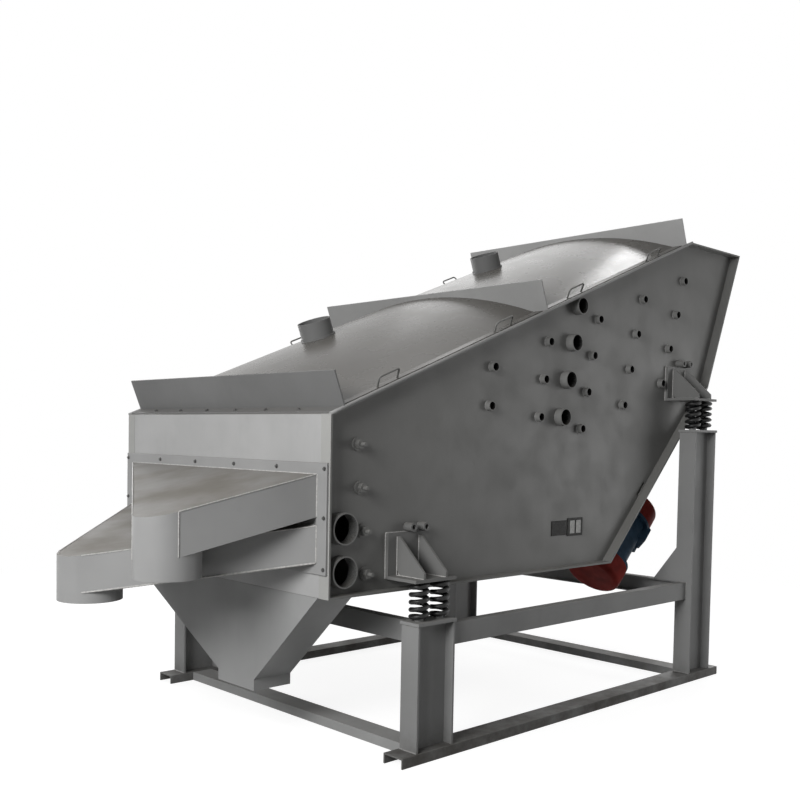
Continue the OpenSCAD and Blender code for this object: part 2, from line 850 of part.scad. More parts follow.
module screen_decks() {
    color(mesh_steel) placed() for (k = [0:3]) screen_deck(k);
}

module side_ports() {
    color(box_grey) placed() both_sides() for (p = PORTS) difference() {
        bar(p, port_r, -side_out - port_out, -side_in);
        bar(p, port_bore_r, -side_out - port_out - cut, -side_in + cut);
    }
}

// stepped bolt that holds the edge of a screen, at point p of the near side plate
module clamp_bolt(p) {
    translate([p[0], -side_out, p[1]]) rotate([90, 0, 0]) {
        cylinder(r = clamp_seat_r, h = clamp_seat_t);
        cylinder(r = clamp_nut_r, h = clamp_nut_h, $fn = 6);
        cylinder(r = clamp_rod_r, h = clamp_rod_len);
    }
}

module clamp_bolts() {
    color(frame_grey) placed() both_sides() for (p = CLAMPS) clamp_bolt(p);
}

module chute_flange() {
    color(pale_grey) placed() difference() {
        translate([flange_x, -flange_half, flange_low]) cube([flange_t, 2 * flange_half, flange_h]);
        translate([flange_x - cut, -flange_half + flange_side_w, flange_low + flange_w])
            cube([flange_t + 2 * cut, 2 * (flange_half - flange_side_w), flange_h - 2 * flange_w]);
    }
}

// plan of a chute: the full width at the flange, drawn in to a round end at the spout
module chute_plan(c, d) {
    hull() {
        translate([flange_x, -chute_half + d]) square([flange_t / 2, 2 * (chute_half - d)]);
        translate(c) circle(r = spout_r - d, $fn = 40);
    }
}

// side view of a chute between its sloping top and floor
module chute_side(top, h, slope, d) {
    run = front_x - x_low + spout_r;
    fall = slope * run;
    polygon([[flange_x, top - d], [flange_x - run, top - fall - d],
        [flange_x - run, top - fall - h + d], [flange_x, top - h + d]]);
}

// underside of a chute at the axis of its spout
function chute_floor(c, top, h, slope) = top - h - slope * (flange_x - c[0]);

// sheet body of a chute, open at the flange and over the spout
module chute(c, top, h, slope) {
    difference() {
        intersection() {
            translate([0, 0, top - 4 * h]) linear_extrude(height = 5 * h)
                intersection() {
                    chute_plan(c, 0);
                    translate([flange_x - 2 * chute_half, -2 * chute_half])
                        square([2 * chute_half, 4 * chute_half]);
                }
            across(-box_half, box_half) chute_side(top, h, slope, 0);
        }
        intersection() {
            translate([0, 0, top - 4 * h]) linear_extrude(height = 5 * h) chute_plan(c, chute_t);
            across(-box_half, box_half) translate([cut, 0]) chute_side(top, h, slope, chute_t);
        }
        translate([c[0], c[1], 0])
            cylinder(r = spout_r - spout_t, h = chute_floor(c, top, h, slope) + h / 2);
    }
}

// round spout under the floor of a chute
module spout(c, top, h, slope, len) {
    low = chute_floor(c, top, h, slope) - len;
    difference() {
        translate([c[0], c[1], low]) cylinder(r = spout_r, h = top - low);
        translate([c[0], c[1], low - cut]) cylinder(r = spout_r - spout_t, h = top - low + 2 * cut);
        across(-box_half, box_half) translate([0, -h]) polygon([[flange_x, top],
            [flange_x - 2 * chute_half, top - 2 * chute_half * slope],
            [flange_x - 2 * chute_half, 2 * top], [flange_x, 2 * top]]);
    }
}

module chute_upper() {
    color(pale_grey) placed() chute(UPPER_SPOUT, upper_top, upper_h, upper_slope);
}

module spout_upper() {
    color(pale_grey) placed() spout(UPPER_SPOUT, upper_top, upper_h, upper_slope, spout_upper_len);
}

module chute_lower() {
    color(pale_grey) placed() chute(LOWER_SPOUT, lower_top, lower_h, lower_slope);
}

module spout_lower() {
    color(pale_grey) placed() spout(LOWER_SPOUT, lower_top, lower_h, lower_slope, spout_lower_len);
}

// flat funnel under the front of the box, narrowing to an outlet on the near side
module fines_hopper() {
    mid = -hopper_out_near;
    neck_z = box_bottom - hopper_h;
    shape = [[-hopper_half, box_bottom], [mid - hopper_out_w / 2, neck_z],
        [mid - hopper_out_w / 2, neck_z - hopper_neck], [mid + hopper_out_w / 2, neck_z - hopper_neck],
        [mid + hopper_out_w / 2, neck_z], [hopper_half, box_bottom]];
    inner = inset(shape, hopper_t);
    color(pale_grey) placed() translate([front_x, 0, 0]) difference() {
        rotate([90, 0, 90]) linear_extrude(height = hopper_depth) polygon(shape);
        translate([hopper_t, 0, 0]) rotate([90, 0, 90])
            linear_extrude(height = hopper_depth - 2 * hopper_t) {
                polygon(inner);
                translate([inner[0][0], inner[0][1] - cut])
                    square([inner[5][0] - inner[0][0], hopper_t + 2 * cut]);
                translate([inner[2][0], inner[2][1] - hopper_t - cut])
                    square([inner[3][0] - inner[2][0], hopper_t + 2 * cut]);
            }
    }
}

motor_y = side_in - motor_in - motor_foot_w / 2;

// vibration motors on the motor plate, axes along the plate
module at_motors() {
    placed() on_incline() both_sides() translate([motor_at, motor_y, 0]) children();
}

module motor_bodies() {
    body_len = motor_len - 2 * motor_cap_len;
    color(motor_blue) at_motors() translate([motor_cap_len, 0, 0]) {
        translate([0, 0, motor_axis_h]) rotate([0, 90, 0]) {
            cylinder(r = motor_body_r, h = body_len);
            cylinder(r = motor_cap_r, h = motor_flange_len);
            translate([0, 0, body_len - motor_flange_len]) cylinder(r = motor_cap_r, h = motor_flange_len);
        }
        translate([0, -motor_foot_w / 2, 0]) cube([body_len, motor_foot_w, motor_foot_t]);
        for (x = [0, body_len - motor_foot_t])
            translate([x, -motor_web_w / 2, 0]) cube([motor_foot_t, motor_web_w, motor_axis_h]);
        translate([body_len - motor_box_len, -motor_box_w / 2, motor_axis_h])
            cube([motor_box_len, motor_box_w, motor_body_r + motor_box_h]);
    }
}

// end cap with a rounded rim, standing on its flange
module motor_cap() {
    rotate_extrude() {
        square([motor_cap_r - motor_round, motor_cap_len]);
        square([motor_cap_r, motor_cap_len - motor_round]);
        translate([motor_cap_r - motor_round, motor_cap_len - motor_round]) circle(r = motor_round);
    }
}

module motor_caps() {
    color(motor_red) at_motors() translate([0, 0, motor_axis_h]) {
        translate([motor_cap_len, 0, 0]) rotate([0, -90, 0]) motor_cap();
        translate([motor_len - motor_cap_len, 0, 0]) rotate([0, 90, 0]) motor_cap();
    }
}

base_rail_near();
base_rail_far();
base_cross_front();
base_cross_rear();
post_front_near();
post_front_far();
post_rear_near();
post_rear_far();
ring_rail_near();
ring_rail_far();
ring_cross_front();
ring_cross_rear();
corner_gussets();
springs_front();
springs_rear();
spring_brackets_front();
spring_brackets_rear();
side_plate_near();
side_plate_far();
front_panel();
bottom_plate();
motor_plate();
rear_wall();
feed_inlet();
top_frame();
cover_front();
cover_rear();
end_plate_front();
end_plate_middle();
end_plate_rear();
dust_outlets();
cover_handles();
deck_tubes();
spreader_tubes();
screen_decks();
side_ports();
clamp_bolts();
chute_flange();
chute_upper();
spout_upper();
chute_lower();
spout_lower();
fines_hopper();
motor_bodies();
motor_caps();
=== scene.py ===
import math
import random

import bmesh
import bpy
from mathutils import Matrix, Vector


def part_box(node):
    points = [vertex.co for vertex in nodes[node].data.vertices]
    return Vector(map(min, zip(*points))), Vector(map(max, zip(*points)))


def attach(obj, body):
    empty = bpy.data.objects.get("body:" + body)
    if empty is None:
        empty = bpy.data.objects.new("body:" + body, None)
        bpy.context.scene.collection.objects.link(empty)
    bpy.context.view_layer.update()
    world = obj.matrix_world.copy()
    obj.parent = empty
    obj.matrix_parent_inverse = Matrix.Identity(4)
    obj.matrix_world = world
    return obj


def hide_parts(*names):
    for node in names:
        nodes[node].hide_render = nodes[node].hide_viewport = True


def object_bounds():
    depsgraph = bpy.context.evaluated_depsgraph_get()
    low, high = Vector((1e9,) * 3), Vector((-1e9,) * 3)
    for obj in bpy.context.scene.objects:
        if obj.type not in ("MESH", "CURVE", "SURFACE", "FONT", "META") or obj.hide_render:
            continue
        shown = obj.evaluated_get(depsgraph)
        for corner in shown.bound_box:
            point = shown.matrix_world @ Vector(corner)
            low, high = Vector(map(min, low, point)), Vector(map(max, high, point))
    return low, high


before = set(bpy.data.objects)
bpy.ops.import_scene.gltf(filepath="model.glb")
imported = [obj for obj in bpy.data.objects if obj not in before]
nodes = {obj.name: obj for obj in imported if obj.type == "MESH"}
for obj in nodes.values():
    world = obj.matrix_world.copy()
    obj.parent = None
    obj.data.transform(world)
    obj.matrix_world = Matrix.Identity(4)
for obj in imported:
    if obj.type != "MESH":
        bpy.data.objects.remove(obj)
cad_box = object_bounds()

scene = bpy.context.scene
scene.view_settings.view_transform = "Standard"
rng = random.Random(7)
TURN = 2 * math.pi


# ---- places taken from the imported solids, in metres ----

def corners(node):
    """The lowest and the highest corner of a node's box."""
    low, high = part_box(node)
    return Vector(low), Vector(high)


RIM = 0.048        # width of the outward rims of the side plates
FLAT_TOP = 0.507   # length of the level top edge behind the slope
PANEL = corners("front_panel")
FLANGE = corners("chute_flange")
NEAR = corners("side_plate_near")
FRONT_X = NEAR[0].x
BOX_HALF = -NEAR[0].y
SIDE_FACE = BOX_HALF - RIM
SLOPE_LOW = Vector((PANEL[0].x, 0, PANEL[1].z))
SLOPE_HIGH = Vector((NEAR[1].x - FLAT_TOP, 0, NEAR[1].z))
SLOPE_LEN = (SLOPE_HIGH - SLOPE_LOW).length
SLOPE_U = (SLOPE_HIGH - SLOPE_LOW).normalized()
SLOPE_N = Vector((-SLOPE_U.z, 0, SLOPE_U.x))


def on_slope(s, y, h):
    """A point s up the slope of the covers, y across and h above it."""
    return SLOPE_LOW + SLOPE_U * s + SLOPE_N * h + Vector((0, y, 0))


def frame_at(origin, x, z):
    """A matrix with its Z along z and its X as near x as that lets it be."""
    z = Vector(z).normalized()
    y = z.cross(Vector(x)).normalized()
    x = y.cross(z)
    m = Matrix((x, y, z)).transposed().to_4x4()
    m.translation = origin
    return m


# ---- materials ----

class Tree:
    """A short way to write the node tree of a material or a world."""

    def __init__(self, owner, output):
        self.owner = owner
        owner.use_nodes = True
        self.t = owner.node_tree
        self.t.nodes.clear()
        self.out = self.node(output)

    def node(self, kind, **values):
        n = self.t.nodes.new(kind)
        for k, v in values.items():
            setattr(n, k, v)
        return n

    def link(self, a, b):
        self.t.links.new(a, b)

    def feed(self, socket, value):
        if isinstance(value, bpy.types.NodeSocket):
            self.link(value, socket)
        else:
            socket.default_value = value

    def noise(self, scale, detail=4, rough=0.55, stretch=None):
        n = self.node("ShaderNodeTexNoise")
        n.inputs["Scale"].default_value = scale
        n.inputs["Detail"].default_value = detail
        n.inputs["Roughness"].default_value = rough
        where = self.coord
        if stretch:
            m = self.node("ShaderNodeMapping")
            m.inputs["Scale"].default_value = stretch
            self.link(where, m.inputs["Vector"])
            where = m.outputs["Vector"]
        self.link(where, n.inputs["Vector"])
        return n.outputs["Fac"]

    def ramp(self, value, a, b, lo=0.0, hi=1.0):
        n = self.node("ShaderNodeMapRange", interpolation_type="SMOOTHSTEP")
        self.feed(n.inputs["Value"], value)
        for k, v in (("From Min", a), ("From Max", b), ("To Min", lo), ("To Max", hi)):
            n.inputs[k].default_value = v
        return n.outputs["Result"]

    def math(self, op, a, b=0.0):
        n = self.node("ShaderNodeMath", operation=op)
        self.feed(n.inputs[0], a)
        self.feed(n.inputs[1], b)
        return n.outputs[0]

    def mix(self, fac, a, b):
        n = self.node("ShaderNodeMix", data_type="RGBA", blend_type="MIX")
        self.feed(n.inputs["Factor"], fac)
        self.feed(n.inputs[6], a if isinstance(a, bpy.types.NodeSocket) else (*a, 1))
        self.feed(n.inputs[7], b if isinstance(b, bpy.types.NodeSocket) else (*b, 1))
        return n.outputs[2]

    def mix_shader(self, fac, a, b):
        n = self.node("ShaderNodeMixShader")
        for socket, value in zip(n.inputs, (fac, a, b)):
            self.link(value, socket)
        self.link(n.outputs[0], self.out.inputs["Surface"])

    def scale(self, color, k):
        n = self.node("ShaderNodeVectorMath", operation="SCALE")
        self.link(color, n.inputs[0])
        self.feed(n.inputs["Scale"], k)
        return n.outputs[0]

    def facing(self, axis):
        """How far the surface faces along an axis, from -1 to 1."""
        g = self.node("ShaderNodeNewGeometry")
        s = self.node("ShaderNodeSeparateXYZ")
        self.link(g.outputs["Normal"], s.inputs[0])
        return s.outputs[axis]

    def height(self):
        s = self.node("ShaderNodeSeparateXYZ")
        self.link(self.coord, s.inputs[0])
        return s.outputs["Z"]

    def seen(self):
        """1 for what is seen straight, in gloss or through glass, 0 for light that bounces."""
        path = self.node("ShaderNodeLightPath").outputs
        mirrored = self.math("MAXIMUM", path["Is Glossy Ray"], path["Is Transmission Ray"])
        return self.math("MAXIMUM", path["Is Camera Ray"], mirrored)

    def bump(self, height, strength, distance, normal=None):
        n = self.node("ShaderNodeBump")
        n.inputs["Strength"].default_value = strength
        n.inputs["Distance"].default_value = distance
        self.link(height, n.inputs["Height"])
        if normal:
            self.link(normal, n.inputs["Normal"])
        return n.outputs["Normal"]

    def finish(self, color, rough, normal, metal, specular):
        p = self.node("ShaderNodeBsdfPrincipled")
        self.feed(p.inputs["Base Color"], color)
        self.feed(p.inputs["Roughness"], rough)
        p.inputs["Metallic"].default_value = metal
        self.feed(p.inputs["Specular IOR Level"], specular)
        self.link(normal, p.inputs["Normal"])
        self.link(p.outputs[0], self.out.inputs["Surface"])
        return self.owner


def new_material(name):
    """A material's tree, with the object's coordinates, which are metres in the shared frame."""
    t = Tree(bpy.data.materials.new(name), "ShaderNodeOutputMaterial")
    t.coord = t.node("ShaderNodeTexCoord").outputs["Object"]
    return t


def shade(base, k):
    return tuple(min(1.0, c * k) for c in base)


DUST = (0.178, 0.163, 0.141)
# DIRT_AND_SHADE darkens faces near the floor: partly dirt, partly painted shade where the machine
# shades the base rails
DIRT_AND_SHADE = (0.050, 0.044, 0.037)
DUST_ROUGH = 0.40                  # what a full coat of dust adds to the roughness
DIRT_AND_SHADE_NONE, DIRT_AND_SHADE_FULL = 0.16, 0.03  # heights between which dirt and painted shade thicken towards the floor
MOTTLE_DARK, MOTTLE_PALE = 0.90, 1.08
# shade of the base used for the painted shade deep inside bores
PAINTED_BORE_SHADE = 0.02
MARKS = (
    # noise scale, detail, roughness, stretch, from, to, share, shade of the base
    (8.0, 6, 0.62, None, 0.48, 0.76, 0.30, 0.80),             # smudges
    (5.0, 4, 0.60, (3.4, 3.4, 0.30), 0.54, 0.80, 0.20, 0.76),  # streaks that run down
    (85.0, 3, 0.60, None, 0.69, 0.77, 0.30, 0.66),            # specks
)


def paint(name, base, rough, specular, dust, grime_and_shade=0.0, wave=0.2, marks=1.0, painted_bore_shade=0.0, front=0.0):
    """Satin paint on sheet steel: mottled, marked, dusty on top and a little uneven.

    dust and grime_and_shade are the shares of dust on level faces and of dirt and painted shade
    near the floor, wave is the unevenness of the sheet, marks the strength of smudges, streaks
    and specks, painted_bore_shade the reach in metres of the painted shade that darkens bores,
    and front how much paler forward faces are.
    """
    t = new_material(name)
    mottle = t.ramp(t.noise(1.3, 4), 0.34, 0.68)
    color = t.mix(mottle, shade(base, MOTTLE_DARK), shade(base, MOTTLE_PALE))
    for scale, detail, fine, stretch, start, end, share, dark in MARKS:
        mark = t.ramp(t.noise(scale, detail, fine, stretch), start, end, 0.0, share * marks)
        color = t.mix(mark, color, shade(base, dark))
    if front:
        color = t.scale(color, t.ramp(t.facing("X"), -0.90, -0.98, 1.0, front))
    # painted shade: occlusion by the part itself turns the insides of bores nearly black
    if painted_bore_shade:
        near = t.node("ShaderNodeAmbientOcclusion", samples=6, only_local=True)
        near.inputs["Distance"].default_value = painted_bore_shade
        color = t.mix(t.ramp(near.outputs["AO"], 0.90, 0.50), color, shade(base, PAINTED_BORE_SHADE))
    r = t.ramp(t.noise(6.0, 5), 0.3, 0.75, rough - 0.06 * marks, rough + 0.10 * marks)
    if dust:
        patches = t.ramp(t.noise(3.2, 5), 0.30, 0.75, 0.5, 1.0)
        lie = t.math("MULTIPLY", t.ramp(t.facing("Z"), 0.25, 0.95), patches)
        lie = t.math("MULTIPLY", lie, dust)
        color = t.mix(lie, color, DUST)
        r = t.math("ADD", r, t.math("MULTIPLY", lie, DUST_ROUGH))
        specular = t.math("MULTIPLY", t.math("SUBTRACT", 1.0, lie), specular)
    # darker in patches towards the floor: partly dirt, partly painted shade on the rails' tops,
    # which the box shades
    if grime_and_shade:
        patches = t.ramp(t.noise(7.0, 6, 0.65), 0.25, 0.7)
        low = t.math("MULTIPLY", t.ramp(t.height(), DIRT_AND_SHADE_NONE, DIRT_AND_SHADE_FULL), patches)
        color = t.mix(t.math("MULTIPLY", low, grime_and_shade), color, DIRT_AND_SHADE)
    n = t.bump(t.noise(1.9, 2, 0.4), wave, 0.010)
    n = t.bump(t.noise(420.0, 2), 0.08, 0.0006, n)
    return t.finish(color, r, n, 0.0, specular)


def plain(name, base, rough, metal=0.0, spread=0.25, scale=40.0, specular=0.4):
    """A small part's finish: one colour that a fine noise varies by the spread."""
    t = new_material(name)
    vary = t.ramp(t.noise(scale, 5), 0.3, 0.7)
    color = t.mix(vary, shade(base, 1 - spread), shade(base, 1 + spread))
    r = t.ramp(t.noise(scale * 0.6, 4), 0.3, 0.7, rough - 0.08, rough + 0.1)
    n = t.bump(t.noise(scale * 8, 3), 0.15, 0.0008)
    return t.finish(color, r, n, metal, specular)


M = {
    # base, roughness, specular, dust, grime_and_shade (dirt and painted shade near the floor), wave,
    # marks
    "box": paint("box_paint", (0.182, 0.182, 0.176), 0.44, 0.20, 0.30),
    "side": paint("side_paint", (0.182, 0.182, 0.176), 0.44, 0.20, 0.30, front=1.95),
    # the tubes' bores are darkened with painted shade
    "tube": paint("tube_paint", (0.225, 0.225, 0.219), 0.50, 0.12, 0.20, painted_bore_shade=0.12),
    "pale": paint("pale_paint", (0.385, 0.385, 0.383), 0.42, 0.22, 0.55),
    "chute": paint("chute_paint", (0.295, 0.295, 0.293), 0.36, 0.22, 0.85, 0.0, 0.14, 0.45),
    "hopper": paint("hopper_paint", (0.312, 0.314, 0.312), 0.42, 0.18, 0.60),
    "cover": paint("cover_paint", (0.108, 0.103, 0.095), 0.23, 0.24, 0.15, 0.0, 0.12, 0.25),
    # the end plates share one paint; these three tones of it are painted light and shade, darker on
    # the front end plate and paler on the middle and rear ones
    "plate": paint("plate_paint", (0.165, 0.166, 0.165), 0.46, 0.16, 0.30),
    "plate_pale": paint("plate_pale_paint", (0.330, 0.330, 0.327), 0.46, 0.20, 0.30),
    "plate_painted_light": paint("plate_painted_light_paint", (0.460, 0.460, 0.457), 0.46, 0.20, 0.30),
    "bracket": paint("bracket_paint", (0.180, 0.180, 0.176), 0.48, 0.14, 0.30),
    "frame": paint("frame_paint", (0.255, 0.256, 0.254), 0.50, 0.14, 0.40, 0.40),
    # the front cross rail is frame steel painted paler: painted light where the chutes and the
    # hopper shade it
    "cross": paint("front_cross_painted_light", (0.360, 0.361, 0.358), 0.50, 0.14, 0.30, 0.10),
    # the rails' heavy grime_and_shade is mostly painted shade on their tops, which the box shades
    "rail": paint("rail_paint", (0.205, 0.205, 0.201), 0.52, 0.08, 0.10, 0.75),
    # base, roughness, metal, spread, scale, specular
    "spring": plain("spring_black", (0.010, 0.010, 0.010), 0.42, 0.0, 0.35, 40.0, 0.3),
    "blue": plain("motor_blue", (0.034, 0.068, 0.110), 0.48, 0.0, 0.25, 14.0, 0.05),
    "red": plain("motor_red", (0.245, 0.036, 0.030), 0.48, 0.0, 0.22, 14.0, 0.02),
    "mesh": plain("screen_steel", (0.33, 0.32, 0.30), 0.42, 0.8, 0.2, 60.0),
    "bolt": plain("bolt_dark", (0.105, 0.104, 0.102), 0.48, 0.1, 0.3, 60.0, 0.2),
    "weld": plain("weld_paint", (0.270, 0.268, 0.262), 0.50, 0.0, 0.18, 90.0),
    # paler weld paint: partly bare weld and chipped paint, partly painted highlight along the edges
    # of ribs and chutes
    "weld_and_highlight": plain("weld_and_highlight_paint", (0.430, 0.425, 0.412), 0.50, 0.0, 0.18, 90.0, 0.3),
    "tag": plain("tag_plate", (0.016, 0.016, 0.015), 0.45, 0.0, 0.55, 150.0, 0.1),
    "tag_pale": plain("tag_pale", (0.42, 0.42, 0.41), 0.45, 0.0, 0.18, 90.0, 0.2),
}

BY_NODE = {
    "rail": ["base_rail_near", "base_rail_far"],
    # the front cross rail's paler paint is painted light
    "cross": ["base_cross_front"],
    "frame": ["base_cross_rear", "post_front_near", "post_front_far", "post_rear_near",
              "post_rear_far", "ring_rail_near", "ring_rail_far", "ring_cross_front",
              "ring_cross_rear", "corner_gussets"],
    "side": ["side_plate_near", "side_plate_far"],
    "box": ["bottom_plate", "motor_plate", "rear_wall", "feed_inlet", "top_frame",
            "cover_handles", "clamp_bolts"],
    "bracket": ["spring_brackets_front", "spring_brackets_rear"],
    "tube": ["deck_tubes", "spreader_tubes", "side_ports"],
    "pale": ["front_panel"],
    # the three end plates take three tones of one paint as painted light and shade
    "plate_painted_light": ["end_plate_rear"],
    "chute": ["chute_upper", "chute_lower", "spout_upper", "spout_lower", "chute_flange"],
    "hopper": ["fines_hopper"],
    "cover": ["cover_front", "cover_rear"],
    "plate": ["end_plate_front", "dust_outlets"],
    "plate_pale": ["end_plate_middle"],
    "spring": ["springs_front", "springs_rear"],
    "blue": ["motor_bodies"],
    "red": ["motor_caps"],
    "mesh": ["screen_decks"],
}


def dress(obj, mat):
    obj.data.materials.clear()
    obj.data.materials.append(mat)


for key, names in BY_NODE.items():
    for n in names:
        dress(nodes[n], M[key])


# ---- smooth and softened edges on the carried-over solids ----

SMOOTH_BELOW, ROUND_ABOVE = 32, 35   # angles between faces, in degrees
EDGE_ROUND = 0.0016
MERGE = 2e-5


def smoother(name, limit):
    """A modifier group that joins facets' corners and smooths all edges flatter than the limit."""
    g = bpy.data.node_groups.new(name, "GeometryNodeTree")
    g.interface.new_socket("Geometry", in_out="INPUT", socket_type="NodeSocketGeometry")
    g.interface.new_socket("Geometry", in_out="OUTPUT", socket_type="NodeSocketGeometry")
    new, link = g.nodes.new, g.links.new
    start, end = new("NodeGroupInput"), new("NodeGroupOutput")
    drop = new("GeometryNodeRemoveAttribute")
    drop.inputs["Name"].default_value = "custom_normal"
    join = new("GeometryNodeMergeByDistance")
    join.inputs["Distance"].default_value = MERGE
    faces = new("GeometryNodeSetShadeSmooth")
    faces.domain = "FACE"
    edges = new("GeometryNodeSetShadeSmooth")
    edges.domain = "EDGE"
    sharp = new("GeometryNodeSetShadeSmooth")
    sharp.domain = "EDGE"
    sharp.inputs["Shade Smooth"].default_value = False
    angle = new("GeometryNodeInputMeshEdgeAngle")
    over = new("FunctionNodeCompare")
    over.operation = "GREATER_THAN"
    over.inputs[1].default_value = math.radians(limit)
    link(angle.outputs["Unsigned Angle"], over.inputs[0])
    link(over.outputs[0], sharp.inputs["Selection"])
    chain = [start, drop, join, faces, edges, sharp, end]
    for a, b in zip(chain, chain[1:]):
        link(a.outputs[0], b.inputs[0])
    return g


SMOOTH = smoother("smooth_by_angle", SMOOTH_BELOW)


def soften(obj, width):
    """Smooths the curved faces of a solid and, with a width, rounds its edges as paint does."""
    m = obj.modifiers.new("smooth", "NODES")
    m.node_group = SMOOTH
    if width:
        b = obj.modifiers.new("round", "BEVEL")
        b.width = width
        b.segments = 2
        b.limit_method = "ANGLE"
        b.angle_limit = math.radians(ROUND_ABOVE)
        b.use_clamp_overlap = True
    w = obj.modifiers.new("even", "WEIGHTED_NORMAL")
    w.keep_sharp = True


ROUNDED = ["bottom_plate", "motor_plate", "rear_wall", "feed_inlet", "top_frame",
           "end_plate_front", "chute_flange"]
for key in ("rail", "cross", "frame", "bracket", "pale", "hopper", "plate_pale", "plate_painted_light"):
    ROUNDED += BY_NODE[key]
SMOOTHED = ["chute_upper", "chute_lower", "spout_upper", "spout_lower", "dust_outlets",
            *BY_NODE["cover"], *BY_NODE["side"]]
for n in ROUNDED:
    soften(nodes[n], EDGE_ROUND)
for n in SMOOTHED:
    soften(nodes[n], 0)


# ---- ways to make pieces ----

def piece(name, bm, mat, replaces=()):
    me = bpy.data.meshes.new(name)
    bmesh.ops.recalc_face_normals(bm, faces=bm.faces)
    bm.to_mesh(me)
    bm.free()
    obj = bpy.data.objects.new(name, me)
    scene.collection.objects.link(obj)
    dress(obj, mat)
    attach(obj, "root")
    if replaces:
        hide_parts(*replaces)
    return obj


def skin(bm, loops, closed=False, smooth=False):
    """Faces between loops of points that follow each other, with ends unless it is closed."""
    pairs = list(zip(loops, loops[1:]))
    if closed:
        pairs.append((loops[-1], loops[0]))
    for a, b in pairs:
        for i in range(len(a)):
            j = (i + 1) % len(a)
            bm.faces.new((a[i], a[j], b[j], b[i])).smooth = smooth
    if not closed:
        bm.faces.new(list(reversed(loops[0])))
        bm.faces.new(loops[-1])


def rings(bm, m, profile, sides, turn=0.0):
    """A turned solid: (radius, height) pairs along Z of m, closed at both ends."""
    angles = [turn + TURN * i / sides for i in range(sides)]
    skin(bm, [[bm.verts.new(m @ Vector((r * math.cos(a), r * math.sin(a), h))) for a in angles]
              for r, h in profile])


def hex_bolt(bm, m, flats, head):
    """Hex bolt head with a chamfered top on a round washer, standing on the plane z = 0 of m."""
    r = flats / math.sqrt(3)
    t = flats * 0.14
    rings(bm, m, [(flats * 0.78, 0), (flats * 0.78, t * 0.7), (flats * 0.74, t)], 20)
    turn = rng.uniform(0, math.pi / 3)
    rings(bm, m, [(r, t), (r, t + head * 0.82), (r * 0.86, t + head)], 6, turn)


def slab(bm, m, size, chamfer=0.001):
    """Plate with a chamfered front edge: size along X, Y and Z of m, its back on z = 0."""
    x, y, z = size[0] / 2, size[1] / 2, size[2]
    signs = ((-1, -1), (1, -1), (1, 1), (-1, 1))
    steps = ((0, 0), (0, z - chamfer), (chamfer, z))
    skin(bm, [[bm.verts.new(m @ Vector((sx * (x - i), sy * (y - i), h))) for sx, sy in signs]
              for i, h in steps])


def tube(bm, points, radius, sides=10, ripple=0.0, closed=False):
    """A rod along the points; ripple varies its radius, as the scales of a weld do."""
    loops = []
    n = len(points)
    side = None
    for i, p in enumerate(points):
        if closed:
            d = (points[(i + 1) % n] - points[i - 1]).normalized()
        else:
            d = (points[min(i + 1, n - 1)] - points[max(i - 1, 0)]).normalized()
        if side is None:
            side = d.orthogonal().normalized()
        side = (side - d * side.dot(d)).normalized()
        other = d.cross(side)
        r = radius * (1 + ripple * (1 if i % 2 else -1) * rng.uniform(0.5, 1.0))
        loops.append([bm.verts.new(p + (side * math.cos(TURN * k / sides)
                                        + other * math.sin(TURN * k / sides)) * r)
                      for k in range(sides)])
    skin(bm, loops, closed, True)


WELD_STEP, RING_STEP = 0.006, 0.024   # lengths of a weld's scale, and of four of them on a ring
LINE_RIPPLE, RING_RIPPLE = 0.14, 0.10


def weld_line(bm, a, b, radius=0.0035):
    """A weld bead with scales from a to b."""
    a, b = Vector(a), Vector(b)
    n = max(4, int((b - a).length / WELD_STEP))
    tube(bm, [a.lerp(b, i / n) for i in range(n + 1)], radius, 6, LINE_RIPPLE)


def weld_ring(bm, centre, radius, bead):
    """A weld bead round a tube along Y."""
    n = 4 * max(6, int(TURN * radius / RING_STEP))
    angles = [TURN * i / n for i in range(n)]
    tube(bm, [centre + Vector((math.cos(a), 0, math.sin(a))) * radius for a in angles],
         bead, 6, RING_RIPPLE, True)


# ---- coil springs with closed ends, two on each post ----

COIL, WIRE, COIL_APART = 0.031, 0.0094, 0.110
COIL_TURNS, COIL_DEAD, COIL_STEPS = 5.0, 0.6, 40   # all turns, dead turns at an end, steps a turn
DEAD_PITCH = 1.9 * WIRE


def coil_points(x, y, low, high):
    """The wire's middle line, from the plane z = low up to z = high."""
    live = COIL_TURNS - 2 * COIL_DEAD
    pitch = (high - low - 2 * WIRE - 2 * COIL_DEAD * DEAD_PITCH) / live
    pts = []
    count = int(COIL_TURNS * COIL_STEPS)
    for i in range(count + 1):
        t = COIL_TURNS * i / count
        z = DEAD_PITCH * min(t, COIL_DEAD) + pitch * min(max(t - COIL_DEAD, 0), live)
        z += DEAD_PITCH * max(t - (COIL_TURNS - COIL_DEAD), 0)
        a = TURN * t
        pts.append(Vector((x + COIL * math.cos(a), y + COIL * math.sin(a), low + WIRE + z)))
    return pts


for end in ("front", "rear"):
    name = "springs_" + end
    low, high = corners(name)
    bm = bmesh.new()
    for side in ("near", "far"):
        post = corners("post_%s_%s" % (end, side))
        mid = (post[0] + post[1]) / 2
        for dx in (-COIL_APART / 2, COIL_APART / 2):
            tube(bm, coil_points(mid.x + dx, mid.y, low.z, high.z), WIRE, 10)
    piece(name + "_coils", bm, M["spring"], [name])


# ---- bolts of the chute flange ----

